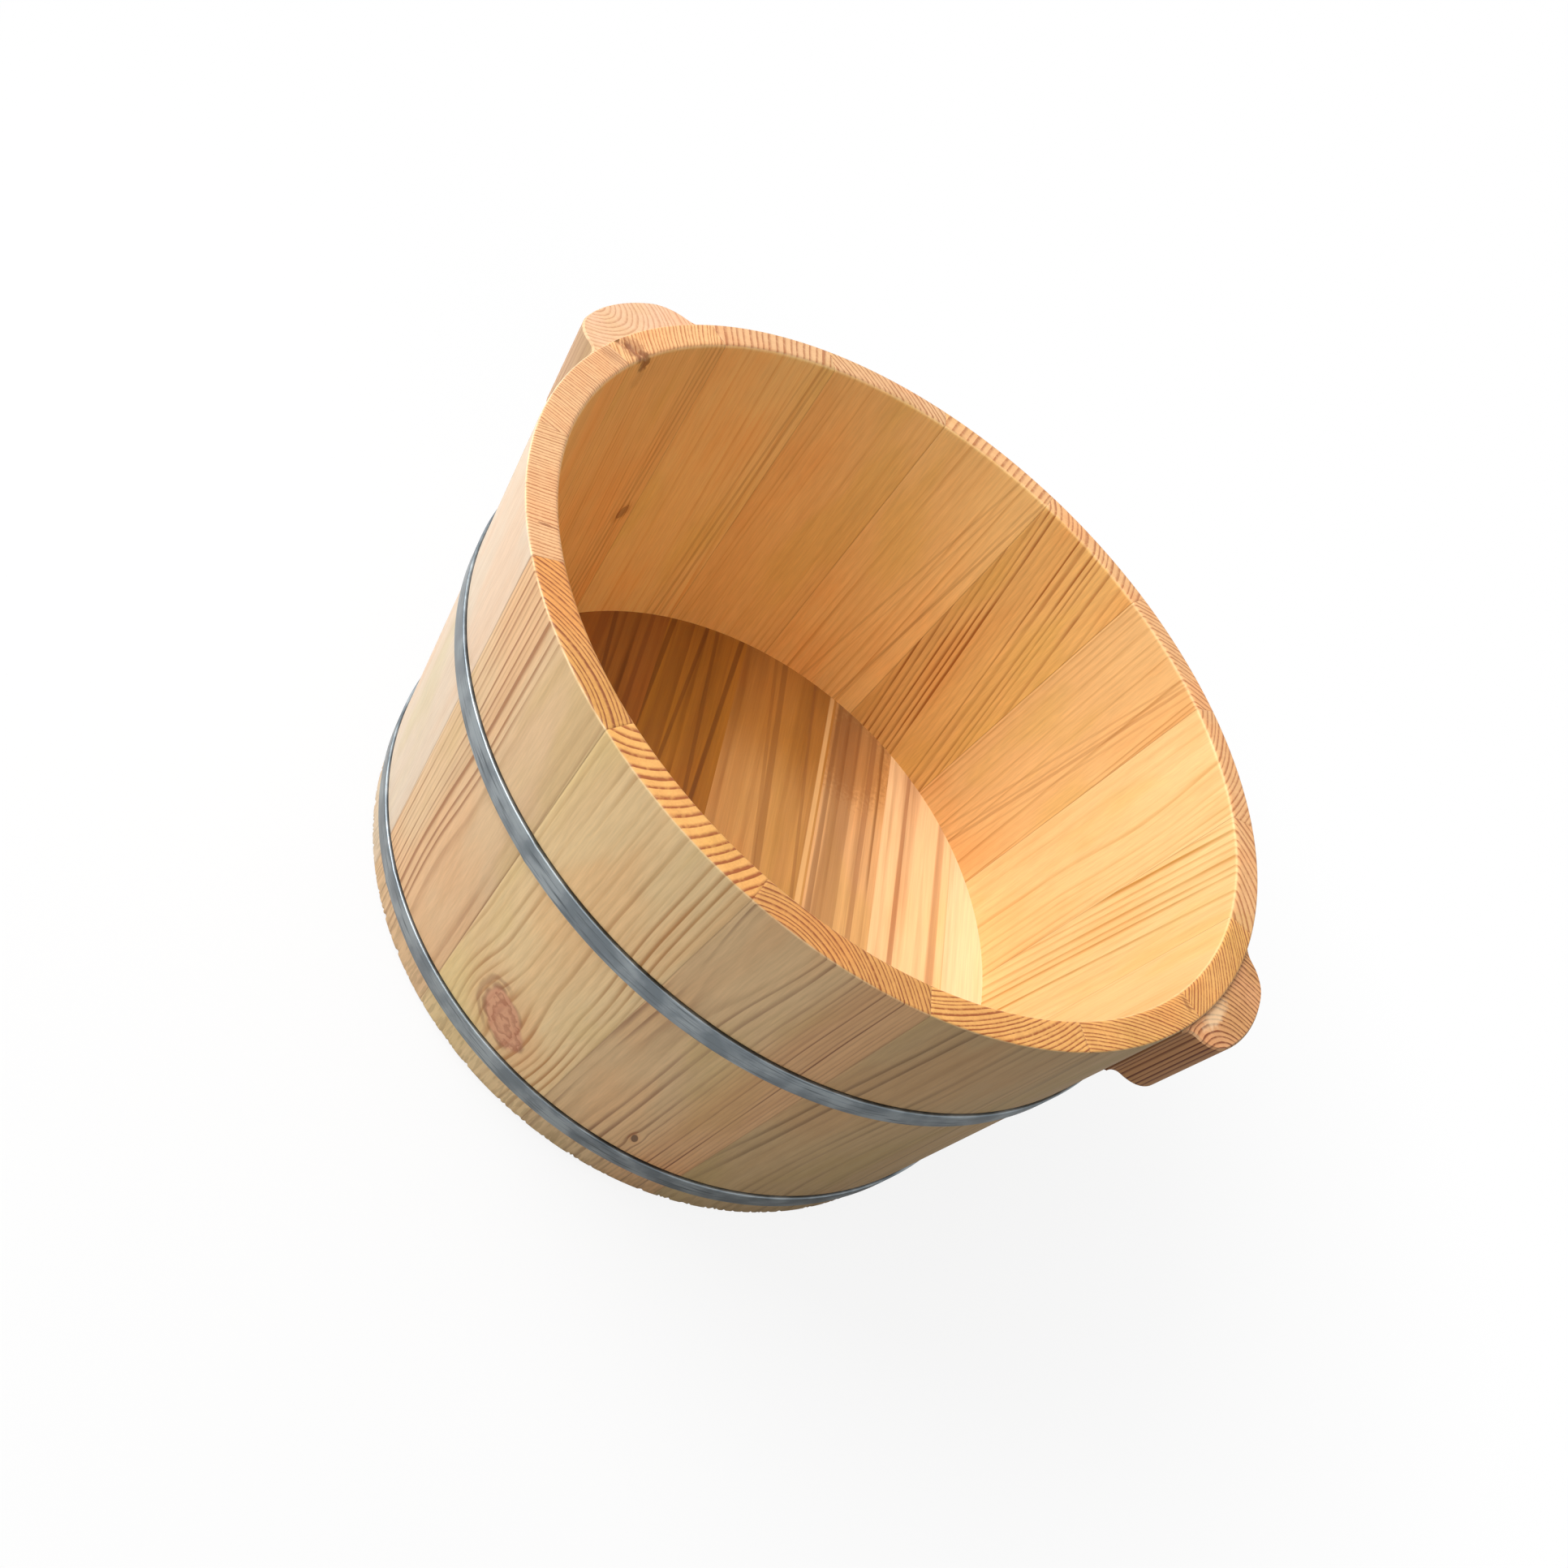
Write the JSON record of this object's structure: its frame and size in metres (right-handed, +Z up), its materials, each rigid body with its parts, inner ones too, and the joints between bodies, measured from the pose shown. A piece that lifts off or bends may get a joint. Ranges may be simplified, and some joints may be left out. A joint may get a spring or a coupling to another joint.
{
  "type": "wooden foot bath",
  "caption": "Round open wooden tub of tapered staves on a board floor, held by two flat steel hoops, with two ear handles at the rim, for soaking feet in warm water.",
  "frame": {"origin": "middle of the tub's base, on the surface it stands on", "axes": "+Z up, X from ear handle to ear handle, Y across"},
  "size_m": [0.3957, 0.3598, 0.2],
  "materials": {
    "stave_wood": "sanded, clear waxed pine",
    "floor_wood": "sanded, clear waxed pine",
    "handle_wood": "sanded, clear waxed pine",
    "pin_wood": "whittled bamboo",
    "hoop_steel": "galvanised flat bar"
  },
  "bodies": {
    "root": {"floor_board_1": "floor_wood", "floor_board_2": "floor_wood", "floor_board_3": "floor_wood", "floor_board_4": "floor_wood", "floor_board_5": "floor_wood", "floor_board_6": "floor_wood", "floor_board_7": "floor_wood", "floor_pins": "pin_wood", "handle_1": "handle_wood", "handle_2": "handle_wood", "handle_dowels": "pin_wood", "lower_hoop": "hoop_steel", "stave_01": "stave_wood", "stave_02": "stave_wood", "stave_03": "stave_wood", "stave_04": "stave_wood", "stave_05": "stave_wood", "stave_06": "stave_wood", "stave_07": "stave_wood", "stave_08": "stave_wood", "stave_09": "stave_wood", "stave_10": "stave_wood", "stave_11": "stave_wood", "stave_12": "stave_wood", "stave_13": "stave_wood", "stave_14": "stave_wood", "stave_15": "stave_wood", "stave_16": "stave_wood", "stave_pins": "pin_wood", "upper_hoop": "hoop_steel"}
  },
  "joints": []
}
